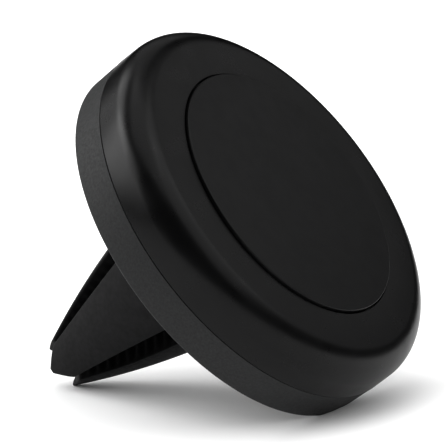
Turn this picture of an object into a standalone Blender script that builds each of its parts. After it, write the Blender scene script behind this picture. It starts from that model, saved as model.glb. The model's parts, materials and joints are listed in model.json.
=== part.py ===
"""Round magnetic phone mount with a four-arm air-vent clip.

Every piece is modelled along the mount's own axis: z = 0 is the rear face of the round head, +z points
at the phone and the clip's arms reach towards -z. One empty then leans the whole mount over, so that it
rests on a small flat in the head's rear rim and on the tip of its bottom arm, with z = 0 as the floor.
"""
import math

import bmesh
import bpy
from mathutils import Vector

MM = 0.001

# Head: outer sizes
HEAD_RADIUS = 21.0 * MM
FACE_Z = 9.43 * MM
SHELL_CORNER = 3.0 * MM
CORNER_Z = 6.2 * MM
FACE_SLOPE = math.radians(3.8)
SEAM_Z = 3.95 * MM
SEAM_GAP = 0.08 * MM
REAR_RADIUS = 20.83 * MM
BAND_RADIUS = 20.97 * MM
REAR_EDGE_RADIUS = 0.3 * MM
REST_FLAT_DEPTH = 0.22 * MM

# Head: walls and the inlaid pad
SHELL_WALL = 1.6 * MM
RECESS_RADIUS = 14.37 * MM
RECESS_FLOOR_Z = 8.47 * MM
CEILING_Z = 7.47 * MM
PAD_RADIUS = 14.23 * MM
PAD_TOP_Z = 9.77 * MM
PAD_BOTTOM_Z = 8.72 * MM
PAD_EDGE = 0.12 * MM
ADHESIVE_RADIUS = 13.8 * MM
ADHESIVE_THICKNESS = 0.15 * MM
FIT_GAP = 0.05 * MM

# Head: rear housing
REAR_WALL = 1.6 * MM
SPIGOT_OUTER = 19.25 * MM
SPIGOT_INNER = 18.05 * MM
SPIGOT_TOP_Z = 5.9 * MM
REAR_RECESS_OUTER = 18.6 * MM
REAR_RECESS_INNER = 10.6 * MM
REAR_RECESS_DEPTH = 0.4 * MM
CENTRE_HOLE_RADIUS = 3.15 * MM

# Magnets and what holds them
CARRIER_RADIUS = 17.8 * MM
CARRIER_TOP_Z = 7.37 * MM
CARRIER_BOTTOM_Z = 4.27 * MM
POCKET_RADIUS = 4.12 * MM
POCKET_TOP_Z = 6.97 * MM
MAGNET_COUNT = 6
MAGNET_RADIUS = 4.0 * MM
MAGNET_THICKNESS = 2.6 * MM
MAGNET_BOTTOM_Z = 4.32 * MM
MAGNET_PITCH_RADIUS = 10.5 * MM
KEEPER_RADIUS = 16.0 * MM
KEEPER_TOP_Z = 4.17 * MM
KEEPER_THICKNESS = 1.0 * MM

# Clip base and its screws
FLANGE_RADIUS = 10.2 * MM
FLANGE_THICKNESS = 1.6 * MM
PEDESTAL_HALF_WIDTH = 8.5 * MM
PEDESTAL_SQUARENESS = 3.2
PEDESTAL_DEPTH = 4.0 * MM
BASE_GAP = 0.1 * MM
CENTRE_BOSS_RADIUS = 3.0 * MM
SCREW_COUNT = 4
SCREW_PITCH_RADIUS = 6.4 * MM
SCREW_RADIUS = 0.8 * MM
SCREW_HEAD_RADIUS = 1.7 * MM
SCREW_HEAD_HEIGHT = 1.0 * MM
SCREW_END_Z = -3.2 * MM
SCREW_HOLE_RADIUS = 0.95 * MM
SCREW_HOLE_END_Z = -3.5 * MM
DRIVE_SLOT_WIDTH = 0.4 * MM
DRIVE_SLOT_LENGTH = 1.9 * MM
DRIVE_SLOT_DEPTH = 0.55 * MM

# Clip arms; a depth is measured behind the head's rear face
ARM_ANGLES = {"right": 0, "top": 90, "left": 180, "bottom": 270}
ARM_ROOT = 4.3 * MM
ARM_TIP = 24.2 * MM
ARM_POINT_START = 22.1 * MM
ARM_CORNER_AT_HEAD = 7.29 * MM
ARM_CORNER_TAPER = 0.0725
ARM_CORNER_CURVE = 6.2
ARM_HALF_WIDTH_AT_HEAD = 5.79 * MM
ARM_WIDTH_TAPER = 0.189
ARM_WIDTH_CURVE = -0.8
ARM_TIP_HALF_WIDTH = 0.3 * MM
ARM_CROWN = 0.254
ARM_EDGE = 0.2 * MM
ARM_SPINE = 0.25 * MM
GRIP_START = 7.6 * MM
GRIP_PITCH = 0.66 * MM
GRIP_DEPTH = 0.16 * MM
CORE_END = 17.0 * MM
SLEEVE_SKIN_ROOT = 0.9 * MM
SLEEVE_SKIN_END = 0.75 * MM
CORE_CLEARANCE = 0.08 * MM
HINGE_RADIUS = 5.4 * MM
HINGE_DEPTH = 4.15 * MM

HEAD_SEGMENTS = 72
INNER_SEGMENTS = 48
MAGNET_SEGMENTS = 24
SCREW_SEGMENTS = 16


def arc(centre, radius, start, end, steps):
    """Points (radius, z) along an arc, with its angles in degrees from the outward direction."""
    points = []
    for step in range(steps + 1):
        angle = math.radians(start + (end - start) * step / steps)
        points.append((centre[0] + radius * math.cos(angle), centre[1] + radius * math.sin(angle)))
    return points


def plastic(name, colour, roughness, metallic=0.0):
    """A Principled material."""
    material = bpy.data.materials.new(name)
    material.use_nodes = True
    shader = material.node_tree.nodes["Principled BSDF"]
    shader.inputs["Base Color"].default_value = (*colour, 1.0)
    shader.inputs["Roughness"].default_value = roughness
    shader.inputs["Metallic"].default_value = metallic
    material.diffuse_color = (*colour, 1.0)
    return material


def finished_mesh(name, bm):
    """Turn a bmesh into a mesh that is smooth on its round sides and sharp at its corners."""
    bmesh.ops.recalc_face_normals(bm, faces=bm.faces)
    mesh = bpy.data.meshes.new(name)
    bm.to_mesh(mesh)
    bm.free()
    mesh.shade_smooth()
    mesh.set_sharp_from_angle(angle=math.radians(32))
    return mesh


def turned_mesh(name, profile, segments, closed=False):
    """Spin (radius, z) points about the z axis.

    An open profile starts and ends on the axis; a closed one makes a ring. The flats between two
    corners lie at the stated radius, and one of them is centred on each of +x, +y, -x and -y.
    """
    bm = bmesh.new()
    half_step = math.pi / segments
    reach = 1.0 / math.cos(half_step)
    verts = []
    for radius, z in profile:
        spot = Vector((radius * math.cos(half_step), radius * math.sin(half_step), 0.0)) * reach
        verts.append(bm.verts.new((spot.x, spot.y, z)))
    edges = [bm.edges.new(pair) for pair in zip(verts, verts[1:])]
    if closed:
        edges.append(bm.edges.new((verts[-1], verts[0])))
    bmesh.ops.spin(
        bm, geom=verts + edges, cent=(0, 0, 0), axis=(0, 0, 1), dvec=(0, 0, 0),
        angle=2 * math.pi, steps=segments, use_merge=True, use_duplicate=False,
    )
    bmesh.ops.remove_doubles(bm, verts=bm.verts, dist=1e-7)
    return finished_mesh(name, bm)


def lofted_mesh(name, outer_rings, inner_rings=()):
    """Skin a row of rings with equal point counts, and cap both ends.

    With inner rings the first end stays open: it is joined to them by a rim, and they run to the
    closed end of a cavity.
    """
    bm = bmesh.new()
    rings = [[bm.verts.new(point) for point in ring] for ring in reversed(inner_rings)]
    rings += [[bm.verts.new(point) for point in ring] for ring in outer_rings]
    for ring, following in zip(rings, rings[1:]):
        count = len(ring)
        for index in range(count):
            after = (index + 1) % count
            bm.faces.new((ring[index], ring[after], following[after], following[index]))
    bm.faces.new(reversed(rings[0]))
    bm.faces.new(rings[-1])
    return finished_mesh(name, bm)


def add_piece(name, mesh, parent, material):
    """Place a mesh as a named object under an empty."""
    piece = bpy.data.objects.new(name, mesh)
    bpy.context.scene.collection.objects.link(piece)
    piece.parent = parent
    if not mesh.materials:
        mesh.materials.append(material)
    return piece


def add_empty(name, parent=None, location=(0, 0, 0), turn=0.0):
    """Place an empty, turned about z."""
    empty = bpy.data.objects.new(name, None)
    bpy.context.scene.collection.objects.link(empty)
    empty.empty_display_size = 5 * MM
    empty.parent = parent
    empty.location = location
    empty.rotation_euler = (0.0, 0.0, turn)
    return empty


def pitch_points(count, radius, first_angle):
    """Points on a circle about the axis."""
    points = []
    for index in range(count):
        angle = first_angle + 2 * math.pi * index / count
        points.append((radius * math.cos(angle), radius * math.sin(angle)))
    return points


def add_round_cutter(name, centres, radius, bottom, top, segments, parent):
    """One guide object with an upright cylinder at each centre."""
    bm = bmesh.new()
    for x, y in centres:
        made = bmesh.ops.create_cone(
            bm, cap_ends=True, segments=segments, radius1=radius, radius2=radius, depth=top - bottom
        )
        bmesh.ops.translate(bm, verts=made["verts"], vec=(x, y, (top + bottom) / 2))
    return as_cutter(bpy.data.objects.new(name, finished_mesh(name, bm)), parent)


def as_cutter(guide, parent):
    """Link a guide that only shapes other pieces."""
    bpy.context.scene.collection.objects.link(guide)
    guide.parent = parent
    guide.hide_render = True
    guide.display_type = "WIRE"
    return guide


def cut(piece, cutter):
    """Cut a guide's shape out of a piece."""
    modifier = piece.modifiers.new("cut_" + cutter.name, "BOOLEAN")
    modifier.operation = "DIFFERENCE"
    modifier.object = cutter
    modifier.solver = "EXACT"


def shell_outline():
    """Front shell: recess floor, recess wall, sloping face, round corner, side, then the inside."""
    face_end = math.degrees(math.pi / 2 - FACE_SLOPE)
    corner = arc((HEAD_RADIUS - SHELL_CORNER, CORNER_Z), SHELL_CORNER, face_end, 0, 9)
    inner_corner_radius = CEILING_Z - CORNER_Z
    inner_radius = HEAD_RADIUS - SHELL_WALL
    inside = arc((inner_radius - inner_corner_radius, CORNER_Z), inner_corner_radius, 0, 90, 4)
    recess = [(0, RECESS_FLOOR_Z), (RECESS_RADIUS, RECESS_FLOOR_Z), (RECESS_RADIUS, FACE_Z)]
    seam = [(HEAD_RADIUS, SEAM_Z + SEAM_GAP / 2), (inner_radius, SEAM_Z + SEAM_GAP / 2)]
    return recess + corner + seam + inside + [(0, CEILING_Z)]


def rear_edge():
    """The rear housing's rounded outer edge, from its rear face out to the band."""
    centre = (REAR_RADIUS - REAR_EDGE_RADIUS, REAR_EDGE_RADIUS)
    return arc(centre, REAR_EDGE_RADIUS, -90, 0, 3)


def housing_outline():
    """Rear housing: band, floor with a shallow recess behind, and a spigot inside the shell."""
    band_top = SEAM_Z - SEAM_GAP / 2
    recess = [(REAR_RECESS_INNER, 0), (REAR_RECESS_INNER, REAR_RECESS_DEPTH)]
    recess += [(REAR_RECESS_OUTER, REAR_RECESS_DEPTH), (REAR_RECESS_OUTER, 0)]
    rear = [(CENTRE_HOLE_RADIUS, REAR_WALL), (CENTRE_HOLE_RADIUS, 0)] + recess + rear_edge()
    spigot = [(BAND_RADIUS, band_top), (SPIGOT_OUTER, band_top), (SPIGOT_OUTER, SPIGOT_TOP_Z)]
    return rear + spigot + [(SPIGOT_INNER, SPIGOT_TOP_Z), (SPIGOT_INNER, REAR_WALL)]


def disc_outline(radius, bottom, top, edge=0.0):
    """A plain disc, with a small bevel on both rims if an edge is given."""
    if not edge:
        return [(0, bottom), (radius, bottom), (radius, top), (0, top)]
    lower = [(0, bottom), (radius - edge, bottom), (radius, bottom + edge)]
    return lower + [(radius, top - edge), (radius - edge, top), (0, top)]


def add_head(axis, skins):
    """The round head: pad, shell, magnets, keeper and rear housing."""
    pad = turned_mesh(
        "front_pad", disc_outline(PAD_RADIUS, PAD_BOTTOM_Z, PAD_TOP_Z, PAD_EDGE), HEAD_SEGMENTS
    )
    add_piece("front_pad", pad, axis, skins["silicone_pad"])

    film_top = PAD_BOTTOM_Z - FIT_GAP
    film_outline = disc_outline(ADHESIVE_RADIUS, film_top - ADHESIVE_THICKNESS, film_top)
    film = turned_mesh("pad_adhesive", film_outline, INNER_SEGMENTS)
    add_piece("pad_adhesive", film, axis, skins["adhesive"])

    shell = turned_mesh("front_shell", shell_outline(), HEAD_SEGMENTS)
    add_piece("front_shell", shell, axis, skins["satin_shell"])

    carrier_mesh = turned_mesh(
        "magnet_carrier", disc_outline(CARRIER_RADIUS, CARRIER_BOTTOM_Z, CARRIER_TOP_Z), INNER_SEGMENTS
    )
    carrier = add_piece("magnet_carrier", carrier_mesh, axis, skins["inner_plastic"])
    magnet_centres = pitch_points(MAGNET_COUNT, MAGNET_PITCH_RADIUS, math.pi / 2)
    pockets = add_round_cutter(
        "magnet_pockets", magnet_centres, POCKET_RADIUS, CARRIER_BOTTOM_Z - 1 * MM, POCKET_TOP_Z,
        MAGNET_SEGMENTS, axis,
    )
    cut(carrier, pockets)

    magnet = turned_mesh(
        "magnet", disc_outline(MAGNET_RADIUS, 0, MAGNET_THICKNESS, 0.15 * MM), MAGNET_SEGMENTS
    )
    for number, (x, y) in enumerate(magnet_centres, start=1):
        piece = add_piece(f"magnet_{number}", magnet, axis, skins["magnet_nickel"])
        piece.location = (x, y, MAGNET_BOTTOM_Z)

    keeper_outline = disc_outline(KEEPER_RADIUS, KEEPER_TOP_Z - KEEPER_THICKNESS, KEEPER_TOP_Z)
    keeper = turned_mesh("keeper_plate", keeper_outline, INNER_SEGMENTS)
    add_piece("keeper_plate", keeper, axis, skins["steel"])

    housing = turned_mesh("rear_housing", housing_outline(), HEAD_SEGMENTS, closed=True)
    return add_piece("rear_housing", housing, axis, skins["matte_housing"])


def base_ring(radius_at, z):
    """A ring of points whose radius is a function of the angle."""
    ring = []
    for index in range(INNER_SEGMENTS):
        angle = 2 * math.pi * (index + 0.5) / INNER_SEGMENTS
        radius = radius_at(angle)
        ring.append((radius * math.cos(angle), radius * math.sin(angle), z))
    return ring


def add_clip_base(axis, skins):
    """Flange, centring boss and the rounded square pedestal that the arms grow from."""

    def circle(radius):
        return lambda angle: radius / math.cos(math.pi / INNER_SEGMENTS)

    def rounded_square(half_width):
        power = PEDESTAL_SQUARENESS
        return lambda angle: half_width * (
            abs(math.cos(angle)) ** power + abs(math.sin(angle)) ** power
        ) ** (-1 / power)

    edge = 0.3 * MM
    rings = [
        base_ring(circle(CENTRE_BOSS_RADIUS), REAR_WALL - BASE_GAP),
        base_ring(circle(CENTRE_BOSS_RADIUS), -BASE_GAP),
        base_ring(circle(FLANGE_RADIUS), -BASE_GAP),
        base_ring(circle(FLANGE_RADIUS), edge - FLANGE_THICKNESS),
        base_ring(circle(FLANGE_RADIUS - edge), -FLANGE_THICKNESS),
        base_ring(rounded_square(PEDESTAL_HALF_WIDTH), -FLANGE_THICKNESS),
        base_ring(rounded_square(PEDESTAL_HALF_WIDTH), edge - PEDESTAL_DEPTH),
        base_ring(rounded_square(PEDESTAL_HALF_WIDTH - edge), -PEDESTAL_DEPTH),
    ]
    return add_piece("clip_base", lofted_mesh("clip_base", rings), axis, skins["matte_housing"])


def add_screws(axis, skins, holders):
    """Four screws from inside the head into the clip base, with their holes."""
    centres = pitch_points(SCREW_COUNT, SCREW_PITCH_RADIUS, math.pi / 4)
    holes = add_round_cutter(
        "screw_holes", centres, SCREW_HOLE_RADIUS, SCREW_HOLE_END_Z, REAR_WALL + 1 * MM,
        SCREW_SEGMENTS, axis,
    )
    for holder in holders:
        cut(holder, holes)

    seat = REAR_WALL + FIT_GAP
    point = 0.4 * MM
    outline = [(0, SCREW_END_Z), (SCREW_RADIUS - point / 2, SCREW_END_Z)]
    outline += [(SCREW_RADIUS, SCREW_END_Z + point), (SCREW_RADIUS, seat), (SCREW_HEAD_RADIUS, seat)]
    outline += arc((SCREW_HEAD_RADIUS - point, seat + SCREW_HEAD_HEIGHT - point), point, 0, 90, 3)
    outline += [(0, seat + SCREW_HEAD_HEIGHT)]
    screw = turned_mesh("clip_screw", outline, SCREW_SEGMENTS)
    drive_mesh = cross_mesh(
        DRIVE_SLOT_LENGTH, DRIVE_SLOT_WIDTH, seat + SCREW_HEAD_HEIGHT - DRIVE_SLOT_DEPTH, 3 * MM
    )
    for number, (x, y) in enumerate(centres, start=1):
        piece = add_piece(f"clip_screw_{number}", screw, axis, skins["steel"])
        piece.location = (x, y, 0.0)
        drive = as_cutter(bpy.data.objects.new(f"screw_drive_{number}", drive_mesh), axis)
        drive.location = piece.location
        cut(piece, drive)


def cross_mesh(length, width, bottom, top):
    """An upright plus-shaped prism."""
    reach, half = length / 2, width / 2
    quarter = [(reach, -half), (reach, half), (half, half)]
    outline = []
    for turn in range(4):
        for x, y in quarter:
            for _ in range(turn):
                x, y = -y, x
            outline.append((x, y))
    rings = [[(x, y, bottom) for x, y in outline], [(x, y, top) for x, y in outline]]
    return lofted_mesh("screw_drive", rings)


def arm_face(depth):
    """An arm's outer face: its corners' distance from the axis, its half-width and its crown's height."""
    corner = ARM_CORNER_AT_HEAD - ARM_CORNER_TAPER * depth - ARM_CORNER_CURVE * depth * depth
    half_width = ARM_HALF_WIDTH_AT_HEAD - ARM_WIDTH_TAPER * depth - ARM_WIDTH_CURVE * depth * depth
    crown = ARM_CROWN * half_width
    if depth > ARM_POINT_START:
        progress = (depth - ARM_POINT_START) / (ARM_TIP - ARM_POINT_START)
        full = half_width
        half_width += (ARM_TIP_HALF_WIDTH - full) * progress ** 1.3
        share = (half_width / full) ** 2
        corner += crown * (1 - share)
        crown *= share
    return corner, half_width, crown


def arm_section(depth, groove=0.0):
    """One cross-section of an arm: a crowned outer face and two slot faces at 45 degrees.

    The arm lies along +y. Its points are seen from the head, relative to the arm's hinge.
    """
    corner, half_width, crown = arm_face(depth)
    edge = min(ARM_EDGE, 0.4 * half_width)
    spine = min(ARM_SPINE, 0.3 * half_width)
    spine_y = corner - half_width - edge
    dip = groove / math.sqrt(2)
    right = [(share * half_width, corner + crown * (1 - share * share)) for share in (0.3, 0.6, 0.85, 1.0)]
    right.append((half_width, corner - edge))
    for along, inset in ((0.12, 0.0), (0.24, dip), (0.86, dip)):
        x = half_width + (spine - half_width) * along
        y = corner - edge + (spine_y + spine - corner + edge) * along
        right.append((x - inset, y + inset))
    right.append((spine, spine_y + spine))
    left = [(-x, y) for x, y in reversed(right)]
    outline = [(0.0, corner + crown)] + right + left
    return [(x, y - HINGE_RADIUS, HINGE_DEPTH - depth) for x, y in outline]


def core_section(depth, skin):
    """A cross-section of the stiff core, or of the cavity around it, under a skin of rubber."""
    corner, half_width, _ = arm_face(depth)
    half_width += ARM_EDGE
    inner_radius = half_width * (math.sqrt(2) - 1)
    scale = (inner_radius - skin) / inner_radius
    centre_y = corner - inner_radius
    blunt = 0.25 * MM
    reach = half_width * scale
    top = centre_y + inner_radius * scale
    bottom = top - reach
    right = [(reach - blunt, top), (reach - blunt, top - blunt), (blunt, bottom + blunt)]
    left = [(-x, y) for x, y in reversed(right)]
    return [(x, y - HINGE_RADIUS, HINGE_DEPTH - depth) for x, y in right + left]


def arm_stations():
    """Depths of an arm's cross-sections, each with its grip groove's depth."""
    stations = [(ARM_ROOT, 0.0), (GRIP_START - GRIP_PITCH, 0.0)]
    depth = GRIP_START
    count = 0
    while depth < ARM_POINT_START - GRIP_PITCH / 2:
        stations.append((depth, GRIP_DEPTH if count % 2 else 0.0))
        depth += GRIP_PITCH
        count += 1
    steps = 4
    for step in range(steps + 1):
        stations.append((ARM_POINT_START + (ARM_TIP - ARM_POINT_START) * step / steps, 0.0))
    return stations


def sleeve_mesh():
    """Rubber sleeve: the arm's outer shape, with a cavity for the core that opens at the root."""
    outer = [arm_section(depth, groove) for depth, groove in arm_stations()]
    outer_count = len(outer[0])
    root_skin = SLEEVE_SKIN_ROOT - CORE_CLEARANCE
    end_skin = SLEEVE_SKIN_END - CORE_CLEARANCE
    root = resampled(core_section(ARM_ROOT, root_skin), outer_count)
    end = resampled(core_section(CORE_END + CORE_CLEARANCE, end_skin), outer_count)
    return lofted_mesh("arm_sleeve", outer, [root, end])


def resampled(outline, count):
    """Add points along an outline's closing edge until it has the wanted count."""
    spare = count - len(outline)
    last = Vector(outline[-1])
    closing = [tuple(last.lerp(Vector(outline[0]), step / (spare + 1))) for step in range(1, spare + 1)]
    middle = spare // 2
    return closing[middle:] + list(outline) + closing[:middle]


def add_arms(axis, skins):
    """Four sprung arms, each a core and a sleeve under an empty on its hinge axis."""
    sleeve = sleeve_mesh()
    core = lofted_mesh("arm_core", [
        core_section(ARM_ROOT, SLEEVE_SKIN_ROOT), core_section(CORE_END, SLEEVE_SKIN_END)
    ])
    for side, degrees in ARM_ANGLES.items():
        angle = math.radians(degrees)
        place = (HINGE_RADIUS * math.cos(angle), HINGE_RADIUS * math.sin(angle), -HINGE_DEPTH)
        hinge = add_empty(f"hinge_{side}", axis, place, angle - math.pi / 2)
        add_piece(f"arm_sleeve_{side}", sleeve, hinge, skins["clip_rubber"])
        add_piece(f"arm_core_{side}", core, hinge, skins["inner_plastic"])


def resting_lean():
    """Angle between the mount's axis and the vertical, when its rear rim and bottom arm touch the floor."""
    corner, _, crown = arm_face(ARM_TIP)
    leans = []
    for radius, z in rear_edge():
        across = radius - corner - crown
        along = z + ARM_TIP
        leans.append(math.atan2(along, across) + math.asin(REST_FLAT_DEPTH / math.hypot(across, along)))
    return min(leans)


def rest_on_floor(axis, housing):
    """Lean the mount onto the floor, centre it over the origin and flatten its rim where it rests."""
    axis.rotation_euler = (resting_lean(), 0.0, 0.0)
    bpy.context.view_layer.update()
    tip = bpy.data.objects["arm_sleeve_bottom"]
    floor = min((tip.matrix_world @ vertex.co).z for vertex in tip.data.vertices)
    corners = []
    for piece in bpy.context.scene.objects:
        if piece.type == "MESH" and not piece.hide_render:
            corners += [piece.matrix_world @ vertex.co for vertex in piece.data.vertices]
    middle = [(min(c[i] for c in corners) + max(c[i] for c in corners)) / 2 for i in range(2)]
    axis.location = (-middle[0], -middle[1], -floor)

    half = 30 * MM
    below = [[(-half, -half, z), (half, -half, z), (half, half, z), (-half, half, z)] for z in (-half, 0.0)]
    slab = as_cutter(bpy.data.objects.new("floor_slab", lofted_mesh("floor_slab", below)), None)
    cut(housing, slab)


def make_skins():
    """One material for each kind of surface."""
    return {
        "silicone_pad": plastic("silicone_pad", (0.020, 0.020, 0.021), 0.55),
        "adhesive": plastic("adhesive", (0.55, 0.53, 0.46), 0.45),
        "satin_shell": plastic("satin_shell", (0.018, 0.018, 0.019), 0.38),
        "matte_housing": plastic("matte_housing", (0.036, 0.037, 0.038), 0.75),
        "inner_plastic": plastic("inner_plastic", (0.045, 0.045, 0.048), 0.5),
        "magnet_nickel": plastic("magnet_nickel", (0.72, 0.70, 0.66), 0.18, 1.0),
        "steel": plastic("steel", (0.56, 0.57, 0.58), 0.32, 1.0),
        "clip_rubber": plastic("clip_rubber", (0.022, 0.022, 0.023), 0.8),
    }


def main():
    for thing in list(bpy.data.objects):
        bpy.data.objects.remove(thing, do_unlink=True)
    skins = make_skins()
    axis = add_empty("mount_axis")
    housing = add_head(axis, skins)
    base = add_clip_base(axis, skins)
    add_screws(axis, skins, [housing, base])
    add_arms(axis, skins)
    rest_on_floor(axis, housing)


main()
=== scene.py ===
"""Looks for the magnetic air-vent phone mount: fine meshes, moulded black materials, floor and studio.

Round pieces are built in the head's own frame: z = 0 is the head's rear face, +z points at the phone,
+y is up the face and the clip's arms reach towards -z. One matrix then places them in the row's frame.
"""
import json
import math

import bmesh
import bpy
from mathutils import Matrix, Vector

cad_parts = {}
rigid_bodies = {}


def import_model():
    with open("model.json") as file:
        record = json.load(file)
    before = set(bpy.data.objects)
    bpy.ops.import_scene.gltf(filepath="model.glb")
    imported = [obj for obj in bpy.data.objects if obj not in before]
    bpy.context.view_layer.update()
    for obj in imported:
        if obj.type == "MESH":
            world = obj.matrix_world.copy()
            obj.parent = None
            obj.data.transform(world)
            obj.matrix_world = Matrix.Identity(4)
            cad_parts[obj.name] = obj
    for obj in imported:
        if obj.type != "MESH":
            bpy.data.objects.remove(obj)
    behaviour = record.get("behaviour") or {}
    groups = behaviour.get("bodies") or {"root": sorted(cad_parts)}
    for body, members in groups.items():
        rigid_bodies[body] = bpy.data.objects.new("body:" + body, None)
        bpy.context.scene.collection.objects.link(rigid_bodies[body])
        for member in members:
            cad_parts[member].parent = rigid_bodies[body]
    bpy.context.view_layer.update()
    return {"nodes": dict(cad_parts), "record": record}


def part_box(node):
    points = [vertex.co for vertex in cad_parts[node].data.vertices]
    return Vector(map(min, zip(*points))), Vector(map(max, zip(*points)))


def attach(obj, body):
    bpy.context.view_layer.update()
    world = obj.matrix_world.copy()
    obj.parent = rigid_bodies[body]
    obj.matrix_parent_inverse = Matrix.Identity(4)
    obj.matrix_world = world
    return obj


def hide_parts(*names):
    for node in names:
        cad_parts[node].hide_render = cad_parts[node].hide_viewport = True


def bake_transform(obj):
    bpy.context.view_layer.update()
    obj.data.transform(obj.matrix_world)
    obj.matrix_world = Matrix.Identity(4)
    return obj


MM = 0.001

# Head details that the frame's boxes don't give
SHELL_CORNER = 3.0 * MM
CORNER_Z = 6.2 * MM
FACE_SLOPE = math.radians(3.8)
RECESS_EDGE = 0.10 * MM
PAD_EDGE = 0.13 * MM
SEAM_EDGE = 0.06 * MM
SHELL_WALL = 1.6 * MM
BAND_DRAFT = 0.14 * MM
REAR_EDGE = 0.3 * MM
REAR_RECESS_OUTER = 18.6 * MM
REAR_RECESS_INNER = 10.6 * MM
REAR_RECESS_DEPTH = 0.4 * MM
REAR_RECESS_EDGE = 0.15 * MM
REAR_WALL = 1.6 * MM
SPIGOT_OUTER = 19.25 * MM
SPIGOT_INNER = 18.05 * MM
CENTRE_HOLE_RADIUS = 3.15 * MM
RECESS_GAP = 0.14 * MM
SEAM_GAP = 0.08 * MM
CARRIER_GAP = 0.1 * MM

# Clip base
FLANGE_THICKNESS = 1.6 * MM
FLANGE_EDGE = 0.35 * MM
FLANGE_TOP_EDGE = 0.1 * MM
BASE_GAP = 0.02 * MM
CENTRE_BOSS_RADIUS = 3.0 * MM
CENTRE_BOSS_TOP = 1.5 * MM
BOOT_HALF_WIDTH = 8.5 * MM
BOOT_SQUARENESS = 3.2
BOOT_TOP = 1.55 * MM
BOOT_DEPTH = 4.4 * MM
BOOT_EDGE = 0.55 * MM
BOOT_FOOT = 0.4 * MM

# Clip arms; a depth is measured behind the head's rear face
ARM_ANGLES = {"right": 0, "top": 90, "left": 180, "bottom": 270}
ARM_ROOT = 3.7 * MM
ARM_POINT_START = 22.1 * MM
ARM_TIP = 24.2 * MM
ARM_CORNER_AT_HEAD = 7.29 * MM
ARM_CORNER_TAPER = 0.0725
ARM_CORNER_CURVE = 6.2
ARM_HALF_WIDTH_AT_HEAD = 5.79 * MM
ARM_WIDTH_TAPER = 0.189
ARM_WIDTH_CURVE = -0.8
ARM_TIP_HALF_WIDTH = 0.3 * MM
ARM_CROWN = 0.254
ARM_EDGE = 0.2 * MM
ARM_SPINE = 0.25 * MM
ARM_EDGE_SOFTNESS = 0.12 * MM
ARM_SPINE_SOFTNESS = 0.2 * MM
GRIP_START = 7.6 * MM
GRIP_PITCH = 1.32 * MM
GRIP_DEPTH = 0.16 * MM

# Points round a turned piece
SEGMENTS = 288
CLIP_SEGMENTS = 192

# The part of a noise's range that the materials use
NOISE_LOW = 0.35
NOISE_HIGH = 0.65

# Camera: the middle of the view lies beside and below the middle of the face
CAMERA_AZIMUTH = -62.07
CAMERA_ELEVATION = 10.54
CAMERA_ROLL = -1.47
CAMERA_DISTANCE = 674 * MM
SENSOR_WIDTH = 36.0
VIEW_WIDTH = 45.44 * MM
AIM_Z = 9.6 * MM
AIM_RIGHT = -6.60 * MM
AIM_UP = -3.25 * MM

# Softboxes round the object: azimuth, elevation, width and height in degrees, and radiance
SOFTBOXES = {
    "key_left": (195, 27, 26, 34, 4.0),
    "key_low": (168, 22, 30, 24, 1.0),
    "key_far": (220, 30, 26, 40, 3.0),
    "key_high": (176, 42, 50, 22, 2.5),
    "rear_high": (160, 62, 50, 24, 0.2),
    "overhead": (0, 86, 50, 50, 1.5),
    "front_left": (20, 45, 56, 40, 1.5),
    "front_right": (62, 45, 28, 40, 0.4),
    "front_low": (71, 23, 36, 16, 0.4),
    "side": (118, 42, 28, 40, 0.4),
}
# Wide suns for the floor alone: azimuth, elevation, angle in degrees, and strength
FLOOR_SUNS = {
    "floor_fill": (0, 89, 170, 4.4),
    "floor_side": (225, 60, 80, 1.0),
    "floor_key": (172, 46, 25, 0.3),
}
LIGHT_TARGET_HEIGHT = 18 * MM
FLOOR_HALF_SIZE = 6.0
DISPLAY_GAMMA = 0.8
WORLD_STRENGTH = 0.005


# ---------------------------------------------------------------- frame

def to_head(origin, normal):
    """Matrix from a head frame with that origin and normal to the row frame."""
    side = Vector((1.0, 0.0, 0.0))
    upward = normal.cross(side)
    turn = Matrix((side, upward, normal)).transposed().to_4x4()
    return Matrix.Translation(origin) @ turn


def span_along(node, matrix):
    """Lowest and highest z of a CAD node in the frame that the matrix leaves."""
    inverse = matrix.inverted()
    heights = [(inverse @ vertex.co).z for vertex in node.data.vertices]
    return min(heights), max(heights)


def half_width(node_name):
    """Half of a CAD node's size along the row's x axis, which is the radius of a round piece."""
    low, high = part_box(node_name)
    return (high.x - low.x) / 2


# ---------------------------------------------------------------- meshes

def arc(centre, radius, start, end, steps):
    """Points (radius, z) along an arc, with its angles in degrees from the outward direction."""
    points = []
    for step in range(steps + 1):
        angle = math.radians(start + (end - start) * step / steps)
        points.append((centre[0] + radius * math.cos(angle), centre[1] + radius * math.sin(angle)))
    return points


def mesh_from(name, vertices, faces, sharp_angle=35):
    """A mesh with outward normals, smooth except at sharp corners."""
    mesh = bpy.data.meshes.new(name)
    mesh.from_pydata([tuple(v) for v in vertices], [], faces)
    bm = bmesh.new()
    bm.from_mesh(mesh)
    bmesh.ops.remove_doubles(bm, verts=bm.verts, dist=1e-8)
    bmesh.ops.recalc_face_normals(bm, faces=bm.faces)
    bm.to_mesh(mesh)
    bm.free()
    mesh.shade_smooth()
    mesh.set_sharp_from_angle(angle=math.radians(sharp_angle))
    return mesh


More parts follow.
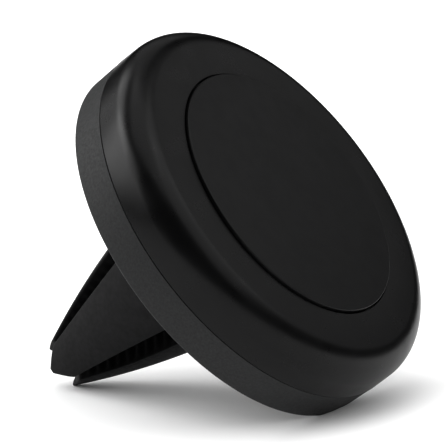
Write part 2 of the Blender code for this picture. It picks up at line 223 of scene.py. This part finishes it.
def turned(name, profile, closed=False, segments=SEGMENTS, radius_at=None):
    """Turn (radius, z) points about z. An open profile starts and ends on the axis.

    radius_at(radius, angle) can pull a ring out of round.
    """
    shape = radius_at or (lambda radius, angle: radius)
    vertices, rings = [], []
    for radius, z in profile:
        if radius == 0:
            rings.append([len(vertices)] * segments)
            vertices.append((0.0, 0.0, z))
            continue
        rings.append(list(range(len(vertices), len(vertices) + segments)))
        for index in range(segments):
            angle = 2 * math.pi * index / segments
            reach = shape(radius, angle)
            vertices.append((reach * math.cos(angle), reach * math.sin(angle), z))
    faces = []
    pairs = list(zip(rings, rings[1:]))
    if closed:
        pairs.append((rings[-1], rings[0]))
    for lower, upper in pairs:
        for index in range(segments):
            after = (index + 1) % segments
            corners = [lower[index], lower[after], upper[after], upper[index]]
            faces.append(list(dict.fromkeys(corners)))
    return mesh_from(name, vertices, faces)


def lofted(name, rings, sharp_angle=50):
    """Skin a row of rings with equal point counts, and close both ends with a fan."""
    count = len(rings[0])
    vertices = [point for ring in rings for point in ring]
    faces = []
    for number in range(len(rings) - 1):
        first = number * count
        for index in range(count):
            after = (index + 1) % count
            faces.append((first + index, first + after, first + count + after, first + count + index))
    for ring, first in ((rings[0], 0), (rings[-1], (len(rings) - 1) * count)):
        middle = sum((Vector(point) for point in ring), Vector()) / count
        vertices.append(tuple(middle))
        hub = len(vertices) - 1
        faces += [(hub, first + index, first + (index + 1) % count) for index in range(count)]
    return mesh_from(name, vertices, faces, sharp_angle)


def place(name, mesh, matrix, material, body, slot, *nodes):
    """Add a piece that rides on a body and stands for the CAD nodes."""
    piece = add_object(name, mesh, matrix, material)
    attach(piece, body)
    if nodes:
        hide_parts(*nodes)
    return piece


def add_object(name, mesh, matrix, material):
    """Link a mesh as an object, with the matrix applied to its points."""
    mesh.transform(matrix)
    piece = bpy.data.objects.new(name, mesh)
    bpy.context.scene.collection.objects.link(piece)
    mesh.materials.clear()
    mesh.materials.append(material)
    return piece


# ---------------------------------------------------------------- materials

class Surface:
    """A Principled material whose colour, roughness and bump come from noise in object space."""

    def __init__(self, name, colour, roughness, metallic=0.0, specular=0.5):
        self.material = bpy.data.materials.new(name)
        self.material.use_nodes = True
        self.tree = self.material.node_tree
        self.shader = self.tree.nodes["Principled BSDF"]
        self.shader.inputs["Metallic"].default_value = metallic
        self.shader.inputs["Specular IOR Level"].default_value = specular
        self.colour = colour
        self.roughness = roughness
        self.coordinates = self.tree.nodes.new("ShaderNodeTexCoord").outputs["Object"]
        self.normal = None

    def noise(self, grain, detail=2.0, stretch=None):
        """Noise whose features are about one grain wide, in metres."""
        node = self.tree.nodes.new("ShaderNodeTexNoise")
        node.inputs["Scale"].default_value = 1.0 / grain
        node.inputs["Detail"].default_value = detail
        source = self.coordinates
        if stretch:
            mapping = self.tree.nodes.new("ShaderNodeMapping")
            mapping.inputs["Scale"].default_value = stretch
            self.tree.links.new(source, mapping.inputs["Vector"])
            source = mapping.outputs["Vector"]
        self.tree.links.new(source, node.inputs["Vector"])
        return node.outputs["Fac"]

    def spread(self, value, low, high):
        """Map noise to a range."""
        node = self.tree.nodes.new("ShaderNodeMapRange")
        node.inputs["From Min"].default_value = NOISE_LOW
        node.inputs["From Max"].default_value = NOISE_HIGH
        node.inputs["To Min"].default_value = low
        node.inputs["To Max"].default_value = high
        self.tree.links.new(value, node.inputs["Value"])
        return node.outputs["Result"]

    def tint(self, value, lighter):
        """Vary the base colour by noise, up to so many times lighter."""
        node = self.tree.nodes.new("ShaderNodeMix")
        node.data_type = "RGBA"
        node.inputs["A"].default_value = (*self.colour, 1.0)
        node.inputs["B"].default_value = (*(channel * lighter for channel in self.colour), 1.0)
        self.tree.links.new(self.spread(value, 0.0, 1.0), node.inputs["Factor"])
        self.tree.links.new(node.outputs["Result"], self.shader.inputs["Base Color"])

    def vary_roughness(self, value, change):
        """Vary the roughness by noise, so much either way."""
        result = self.spread(value, self.roughness - change, self.roughness + change)
        self.tree.links.new(result, self.shader.inputs["Roughness"])

    def bump(self, value, height):
        """Add bump of that height, in metres, over any bump added before."""
        node = self.tree.nodes.new("ShaderNodeBump")
        node.inputs["Distance"].default_value = height
        node.inputs["Strength"].default_value = 1.0
        self.tree.links.new(value, node.inputs["Height"])
        if self.normal:
            self.tree.links.new(self.normal, node.inputs["Normal"])
        self.normal = node.outputs["Normal"]
        self.tree.links.new(self.normal, self.shader.inputs["Normal"])


def satin_shell():
    """Satin black moulded plastic with a very fine texture and faint handling marks."""
    surface = Surface("satin_shell", (0.0048, 0.0048, 0.0051), 0.30, specular=0.26)
    surface.tint(surface.noise(4 * MM), 1.25)
    surface.vary_roughness(surface.noise(2.5 * MM, detail=4), 0.03)
    surface.bump(surface.noise(0.09 * MM), 0.0012 * MM)
    return surface.material


def silicone_pad():
    """Fine matte silicone, a little rougher than the shell around it."""
    surface = Surface("silicone_pad", (0.0052, 0.0052, 0.0055), 0.36, specular=0.27)
    surface.tint(surface.noise(3 * MM), 1.3)
    surface.vary_roughness(surface.noise(1.8 * MM, detail=4), 0.03)
    surface.bump(surface.noise(0.07 * MM), 0.0015 * MM)
    return surface.material


def matte_housing():
    """Matt plastic with a spark-eroded grain."""
    surface = Surface("matte_housing", (0.026, 0.0265, 0.027), 0.62, specular=0.35)
    surface.tint(surface.noise(0.22 * MM, detail=3), 1.35)
    surface.vary_roughness(surface.noise(0.3 * MM), 0.06)
    surface.bump(surface.noise(0.16 * MM, detail=3), 0.012 * MM)
    return surface.material


def clip_rubber():
    """Matt moulded rubber with a soft fine grain and a few paler rubbed patches."""
    surface = Surface("clip_rubber", (0.0065, 0.0065, 0.007), 0.6, specular=0.24)
    surface.tint(surface.noise(1.6 * MM, detail=5), 1.5)
    surface.vary_roughness(surface.noise(0.5 * MM, detail=3), 0.05)
    surface.bump(surface.noise(0.12 * MM, detail=3), 0.006 * MM)
    return surface.material


def inner_plastic():
    """Plain black ABS of the hidden mouldings."""
    surface = Surface("inner_plastic", (0.02, 0.02, 0.022), 0.5)
    surface.tint(surface.noise(1 * MM), 1.3)
    surface.vary_roughness(surface.noise(0.6 * MM), 0.05)
    surface.bump(surface.noise(0.2 * MM), 0.004 * MM)
    return surface.material


def adhesive():
    """Pale acrylic foam film."""
    surface = Surface("adhesive", (0.50, 0.47, 0.38), 0.5)
    surface.tint(surface.noise(0.8 * MM), 1.15)
    surface.vary_roughness(surface.noise(0.4 * MM), 0.08)
    surface.bump(surface.noise(0.15 * MM), 0.01 * MM)
    return surface.material


def magnet_nickel():
    """Bright nickel plating, lightly scuffed."""
    surface = Surface("magnet_nickel", (0.66, 0.63, 0.58), 0.18, metallic=1.0)
    surface.tint(surface.noise(1.2 * MM), 1.1)
    surface.vary_roughness(surface.noise(0.4 * MM, detail=6), 0.07)
    surface.bump(surface.noise(0.3 * MM), 0.001 * MM)
    return surface.material


def steel():
    """Zinc-plated steel with a directional rolling grain."""
    surface = Surface("steel", (0.50, 0.51, 0.53), 0.34, metallic=1.0)
    surface.tint(surface.noise(0.8 * MM, stretch=(0.1, 1, 1)), 1.2)
    surface.vary_roughness(surface.noise(0.3 * MM, stretch=(0.05, 1, 1)), 0.08)
    surface.bump(surface.noise(0.2 * MM, stretch=(0.05, 1, 1)), 0.002 * MM)
    return surface.material


def floor_white():
    """White studio board."""
    surface = Surface("floor_white", (0.86, 0.86, 0.86), 0.9, specular=0.1)
    surface.tint(surface.noise(60 * MM), 1.02)
    surface.vary_roughness(surface.noise(20 * MM), 0.02)
    surface.bump(surface.noise(1 * MM), 0.002 * MM)
    return surface.material


# ---------------------------------------------------------------- head

def shell_profile(sizes):
    """Front shell: recess floor, recess wall, sloping face, round corner, side, then the inside."""
    radius = sizes["head_radius"]
    recess_radius = sizes["recess_radius"]
    face_end = 90 - math.degrees(FACE_SLOPE)
    centre = (radius - SHELL_CORNER, CORNER_Z)
    corner = arc(centre, SHELL_CORNER, face_end, 0, 28)
    inner_x = recess_radius + RECESS_EDGE
    start_x, start_z = corner[0]
    inner_z = start_z + (start_x - inner_x) * math.tan(FACE_SLOPE)
    recess_lip = arc((inner_x, inner_z - RECESS_EDGE), RECESS_EDGE, 180, face_end, 6)
    floor_z = sizes["recess_floor"]
    recess = [(0, floor_z), (recess_radius, floor_z)]
    bottom = sizes["seam"]
    lower = arc((radius - SEAM_EDGE, bottom + SEAM_EDGE), SEAM_EDGE, 0, -90, 4)
    inner_radius = radius - SHELL_WALL
    ceiling = sizes["ceiling"]
    round_in = ceiling - CORNER_Z
    inside = arc((inner_radius - round_in, CORNER_Z), round_in, 0, 90, 8)
    return recess + recess_lip + corner + lower + [(inner_radius, bottom)] + inside + [(0, ceiling)]


def pad_profile(sizes):
    """Inlaid pad with softly rounded rims."""
    radius = sizes["pad_radius"]
    low, high = sizes["pad"]
    upper = arc((radius - PAD_EDGE, high - PAD_EDGE), PAD_EDGE, 0, 90, 8)
    lower = arc((radius - PAD_EDGE, low + PAD_EDGE), PAD_EDGE, -90, 0, 4)
    return [(0, low)] + lower + upper + [(0, high)]


def housing_profile(sizes):
    """Rear housing: recessed rear face, rounded rim, drafted band, spigot and floor."""
    radius = sizes["band_radius"]
    top = sizes["band_top"]
    rear_radius = radius - BAND_DRAFT
    rim = arc((rear_radius - REAR_EDGE, REAR_EDGE), REAR_EDGE, -90, 0, 10)
    seam = arc((radius - SEAM_EDGE, top - SEAM_EDGE), SEAM_EDGE, 0, 90, 4)
    soft = REAR_RECESS_EDGE
    recess_in = arc((REAR_RECESS_INNER - soft, soft), soft, -90, 0, 4)
    recess_out = arc((REAR_RECESS_OUTER + soft, soft), soft, 180, 270, 4)
    recess = [(REAR_RECESS_INNER, REAR_RECESS_DEPTH), (REAR_RECESS_OUTER, REAR_RECESS_DEPTH)]
    spigot_top = sizes["housing_top"]
    inside = [(SPIGOT_OUTER, top), (SPIGOT_OUTER, spigot_top), (SPIGOT_INNER, spigot_top)]
    hole = [(SPIGOT_INNER, REAR_WALL), (CENTRE_HOLE_RADIUS, REAR_WALL), (CENTRE_HOLE_RADIUS, 0)]
    return recess_in + recess + recess_out + rim + seam + inside + hole


def head_sizes(nodes, matrix):
    """Sizes of the round pieces, read from the CAD frame."""
    pad_low, pad_high = span_along(nodes["front_pad"], matrix)
    film_low, film_high = span_along(nodes["pad_adhesive"], matrix)
    shell_low, _ = span_along(nodes["front_shell"], matrix)
    _, carrier_high = span_along(nodes["magnet_carrier"], matrix)
    _, housing_top = span_along(nodes["rear_housing"], matrix)
    pad_radius = half_width("front_pad")
    return {
        "head_radius": half_width("front_shell"),
        "pad_radius": pad_radius,
        "pad": (pad_low, pad_high),
        "recess_radius": pad_radius + RECESS_GAP,
        "recess_floor": film_low - (pad_low - film_high),
        "seam": shell_low,
        "band_top": shell_low - SEAM_GAP,
        "band_radius": half_width("rear_housing"),
        "ceiling": carrier_high + CARRIER_GAP,
        "housing_top": housing_top,
    }


def flatten_on_floor(mesh):
    """Lift the few points below the floor onto it: the flat that the mount rests on."""
    for vertex in mesh.vertices:
        vertex.co.z = max(vertex.co.z, 0.0)


def build_head(nodes, matrix, skins):
    """Pad, front shell and rear housing as fine meshes."""
    sizes = head_sizes(nodes, matrix)
    pad = turned("pad_skin", pad_profile(sizes))
    place("pad_skin", pad, matrix, skins["silicone_pad"], "head", "silicone_pad", "front_pad")
    shell = turned("shell_skin", shell_profile(sizes))
    place("shell_skin", shell, matrix, skins["satin_shell"], "head", "satin_shell", "front_shell")
    housing = turned("housing_skin", housing_profile(sizes), closed=True)
    place("housing_skin", housing, matrix, skins["matte_housing"], "head", "matte_housing", "rear_housing")
    flatten_on_floor(housing)


# ---------------------------------------------------------------- clip

def rounded_square(radius, angle):
    """Radius of a rounded square of that half-width."""
    power = BOOT_SQUARENESS
    total = abs(math.cos(angle)) ** power + abs(math.sin(angle)) ** power
    return radius * total ** (-1 / power)


def build_clip_base(matrix, skins):
    """Round flange with its centring boss, and the rubber boot that the arms grow from."""
    radius = half_width("clip_base")
    rim = arc((radius - FLANGE_EDGE, FLANGE_EDGE - FLANGE_THICKNESS), FLANGE_EDGE, 0, -90, 8)
    outline = [(0, CENTRE_BOSS_TOP), (CENTRE_BOSS_RADIUS, CENTRE_BOSS_TOP)]
    outline += [(CENTRE_BOSS_RADIUS, -BASE_GAP), (radius - FLANGE_TOP_EDGE, -BASE_GAP)]
    outline += [(radius, -BASE_GAP - FLANGE_TOP_EDGE)] + rim + [(0, -FLANGE_THICKNESS)]
    flange = turned("clip_flange", outline, segments=CLIP_SEGMENTS)
    place("clip_flange", flange, matrix, skins["matte_housing"], "head", "matte_housing", "clip_base")

    skirt = arc((BOOT_HALF_WIDTH + BOOT_FOOT, -BOOT_TOP - BOOT_FOOT), BOOT_FOOT, 90, 180, 6)
    edge = arc((BOOT_HALF_WIDTH - BOOT_EDGE, BOOT_EDGE - BOOT_DEPTH), BOOT_EDGE, 0, -90, 8)
    boot = turned(
        "clip_boot", [(0, -BOOT_TOP)] + skirt + edge + [(0, -BOOT_DEPTH)],
        segments=CLIP_SEGMENTS, radius_at=rounded_square,
    )
    place("clip_boot", boot, matrix, skins["clip_rubber"], "head", "clip_rubber")


def arm_face(depth):
    """An arm's outer face: its corners' distance from the axis, its half-width and its crown's height."""
    corner = ARM_CORNER_AT_HEAD - ARM_CORNER_TAPER * depth - ARM_CORNER_CURVE * depth * depth
    half = ARM_HALF_WIDTH_AT_HEAD - ARM_WIDTH_TAPER * depth - ARM_WIDTH_CURVE * depth * depth
    crown = ARM_CROWN * half
    if depth > ARM_POINT_START:
        progress = (depth - ARM_POINT_START) / (ARM_TIP - ARM_POINT_START)
        full = half
        half += (ARM_TIP_HALF_WIDTH - full) * progress ** 1.3
        share = (half / full) ** 2
        corner += crown * (1 - share)
        crown *= share
    return corner, half, crown


def rounded_outline(corners, soft, steps=4):
    """Round each corner of a closed outline with an arc-like curve through so many points."""
    points = []
    count = len(corners)
    for index, corner in enumerate(corners):
        here = Vector(corner)
        before = Vector(corners[index - 1]) - here
        after = Vector(corners[(index + 1) % count]) - here
        reach = min(soft[index], before.length * 0.45, after.length * 0.45)
        start = here + before.normalized() * reach
        end = here + after.normalized() * reach
        for step in range(steps + 1):
            t = step / steps
            points.append(start * (1 - t) ** 2 + here * (2 * t * (1 - t)) + end * t ** 2)
    return points


def arm_ring(depth, crown_steps=24, groove_steps=10):
    """One cross-section of an arm, along +y: a crowned outer face and two grooved slot faces."""
    corner, half, crown = arm_face(depth)
    edge = min(ARM_EDGE, 0.4 * half)
    spine = min(ARM_SPINE, 0.3 * half)
    spine_y = corner - half - edge + spine
    corners = [(half, corner), (half, corner - edge), (spine, spine_y)]
    corners += [(-spine, spine_y), (-half, corner - edge), (-half, corner)]
    soft = [ARM_EDGE_SOFTNESS] * 2 + [ARM_SPINE_SOFTNESS] * 2 + [ARM_EDGE_SOFTNESS] * 2
    base = rounded_outline(corners, soft)
    per_corner = len(base) // len(corners)
    outline = []
    for number in range(len(corners)):
        outline += [(point, False) for point in base[number * per_corner:(number + 1) * per_corner]]
        here = base[(number + 1) * per_corner - 1]
        following = base[((number + 1) * per_corner) % len(base)]
        steps = {1: groove_steps, 3: groove_steps, 5: crown_steps}.get(number, 0)
        for step in range(1, steps):
            outline.append((here.lerp(following, step / steps), number != 5))
    ring = []
    for (x, y), on_slot_face in outline:
        rise = max(0.0, (y - corner + edge) / edge)
        y += crown * (1 - min(1.0, (x / half) ** 2)) * rise
        inward = groove_depth(depth, x, half, spine) if on_slot_face else 0.0
        ring.append((x - math.copysign(inward, x), y + inward))
    return ring


def groove_depth(depth, x, half, spine):
    """How far a slot face is pressed in by the grip grooves at a point."""
    if depth < GRIP_START or depth > ARM_POINT_START:
        return 0.0
    across = (half - abs(x)) / (half - spine)
    edge_fade = min(1.0, max(0.0, (across - 0.08) / 0.1)) * min(1.0, max(0.0, (0.97 - across) / 0.1))
    wave = 0.5 - 0.5 * math.cos(2 * math.pi * (depth - GRIP_START) / GRIP_PITCH)
    end_fade = min(1.0, (ARM_POINT_START - depth) / GRIP_PITCH)
    return GRIP_DEPTH / math.sqrt(2) * wave * edge_fade * end_fade


def arm_depths():
    """Depths of an arm's cross-sections: close together along the grooves and the point."""
    depths = [ARM_ROOT + (GRIP_START - ARM_ROOT) * step / 10 for step in range(10)]
    count = int((ARM_POINT_START - GRIP_START) / (GRIP_PITCH / 8))
    depths += [GRIP_START + (ARM_POINT_START - GRIP_START) * step / count for step in range(count)]
    steps = 14
    depths += [ARM_POINT_START + (ARM_TIP - ARM_POINT_START) * step / steps for step in range(steps + 1)]
    return depths


def build_arms(matrix, skins):
    """Four rubber arms reaching out of the boot, each put in place of its CAD sleeve."""
    rings = [[(x, y, -depth) for x, y in arm_ring(depth)] for depth in arm_depths()]
    for side, degrees in ARM_ANGLES.items():
        turn = Matrix.Rotation(math.radians(degrees - 90), 4, "Z")
        mesh = lofted(f"arm_skin_{side}", rings)
        piece = add_object(f"arm_skin_{side}", mesh, matrix @ turn, skins["clip_rubber"])
        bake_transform(piece)
        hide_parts(f"arm_sleeve_{side}")


# ---------------------------------------------------------------- studio

def direction(azimuth, elevation):
    """Unit vector from the object towards an azimuth and elevation in degrees; azimuth 0 is -y."""
    a, e = math.radians(azimuth), math.radians(elevation)
    return Vector((math.sin(a) * math.cos(e), -math.cos(a) * math.cos(e), math.sin(e)))


def look(thing, target):
    """Point an object's -z at a target, with its y upward."""
    thing.rotation_euler = (target - thing.location).to_track_quat("-Z", "Y").to_euler()


def add_softbox(name, azimuth, elevation, width, height, radiance, target, receivers):
    """A rectangular softbox one metre away, that many degrees wide and high."""
    data = bpy.data.lights.new(name, "AREA")
    data.shape = "RECTANGLE"
    data.size = 2 * math.tan(math.radians(width / 2))
    data.size_y = 2 * math.tan(math.radians(height / 2))
    data.energy = radiance * math.pi * data.size * data.size_y
    lamp = bpy.data.objects.new(name, data)
    bpy.context.scene.collection.objects.link(lamp)
    lamp.location = target + direction(azimuth, elevation)
    look(lamp, target)
    lamp.visible_camera = False
    lamp.light_linking.receiver_collection = receivers


def add_sun(name, azimuth, elevation, angle, strength, receivers):
    """A wide, even light from far away."""
    data = bpy.data.lights.new(name, "SUN")
    data.angle = math.radians(angle)
    data.energy = strength
    lamp = bpy.data.objects.new(name, data)
    bpy.context.scene.collection.objects.link(lamp)
    lamp.location = direction(azimuth, elevation)
    look(lamp, Vector())
    lamp.light_linking.receiver_collection = receivers


def add_floor():
    """A wide white board under the object."""
    reach = FLOOR_HALF_SIZE
    corners = [(-reach, -reach, 0), (reach, -reach, 0), (reach, reach, 0), (-reach, reach, 0)]
    mesh = bpy.data.meshes.new("floor")
    mesh.from_pydata(corners, [], [(0, 1, 2, 3)])
    floor = add_object("floor", mesh, Matrix.Identity(4), floor_white())
    return floor


def add_camera(matrix):
    """Camera at the height and distance of a close product view."""
    back = direction(CAMERA_AZIMUTH, CAMERA_ELEVATION)
    azimuth, roll = math.radians(CAMERA_AZIMUTH), math.radians(CAMERA_ROLL)
    level = Vector((math.cos(azimuth), math.sin(azimuth), 0.0))
    upright = back.cross(level)
    right = level * math.cos(roll) + upright * math.sin(roll)
    upward = upright * math.cos(roll) - level * math.sin(roll)
    face = matrix @ Vector((0, 0, AIM_Z))
    target = face + right * AIM_RIGHT + upward * AIM_UP
    data = bpy.data.cameras.new("camera")
    data.sensor_width = SENSOR_WIDTH
    data.lens = SENSOR_WIDTH * CAMERA_DISTANCE / VIEW_WIDTH
    data.clip_start = 0.01
    data.clip_end = 20.0
    camera = bpy.data.objects.new("camera", data)
    bpy.context.scene.collection.objects.link(camera)
    camera.location = face + back * CAMERA_DISTANCE
    look(camera, target)
    camera.rotation_euler.rotate_axis("Z", roll)
    bpy.context.scene.camera = camera


def build_studio(matrix):
    """Floor, softboxes for the object alone, suns for the floor alone, world and camera."""
    scene = bpy.context.scene
    scene.view_settings.view_transform = "Standard"
    scene.view_settings.gamma = DISPLAY_GAMMA
    shown = bpy.data.collections.new("object_only")
    for piece in scene.objects:
        if piece.type == "MESH" and not piece.hide_render:
            shown.objects.link(piece)
    board = bpy.data.collections.new("floor_only")
    board.objects.link(add_floor())
    target = Vector((0.0, 0.0, LIGHT_TARGET_HEIGHT))
    for name, (azimuth, elevation, width, height, radiance) in SOFTBOXES.items():
        add_softbox(name, azimuth, elevation, width, height, radiance, target, shown)
    for name, (azimuth, elevation, angle, strength) in FLOOR_SUNS.items():
        add_sun(name, azimuth, elevation, angle, strength, board)
    world = bpy.data.worlds.new("studio")
    world.use_nodes = True
    world.node_tree.nodes["Background"].inputs["Color"].default_value = (1.0, 1.0, 1.0, 1.0)
    world.node_tree.nodes["Background"].inputs["Strength"].default_value = WORLD_STRENGTH
    scene.world = world
    add_camera(matrix)


# ---------------------------------------------------------------- all together

def main():
    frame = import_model()
    nodes = frame["nodes"]
    face = next(m for m in frame["record"]["mounts"] if m["name"] == "phone_face")
    normal = Vector(face["axis"]).normalized()
    at_face = to_head(Vector(face["pos_m"]), normal)
    rear, _ = span_along(nodes["rear_housing"], at_face)
    matrix = at_face @ Matrix.Translation((0, 0, rear))

    skins = {make.__name__: make() for make in (
        satin_shell, silicone_pad, matte_housing, clip_rubber, inner_plastic, adhesive,
        magnet_nickel, steel,
    )}
    for entry in frame["record"]["subparts"]:
        slots = nodes[entry["node"]].data.materials
        slots.clear()
        slots.append(skins[entry["material_slot"]])
    build_head(nodes, matrix, skins)
    build_clip_base(matrix, skins)
    build_arms(matrix, skins)
    build_studio(matrix)


main()
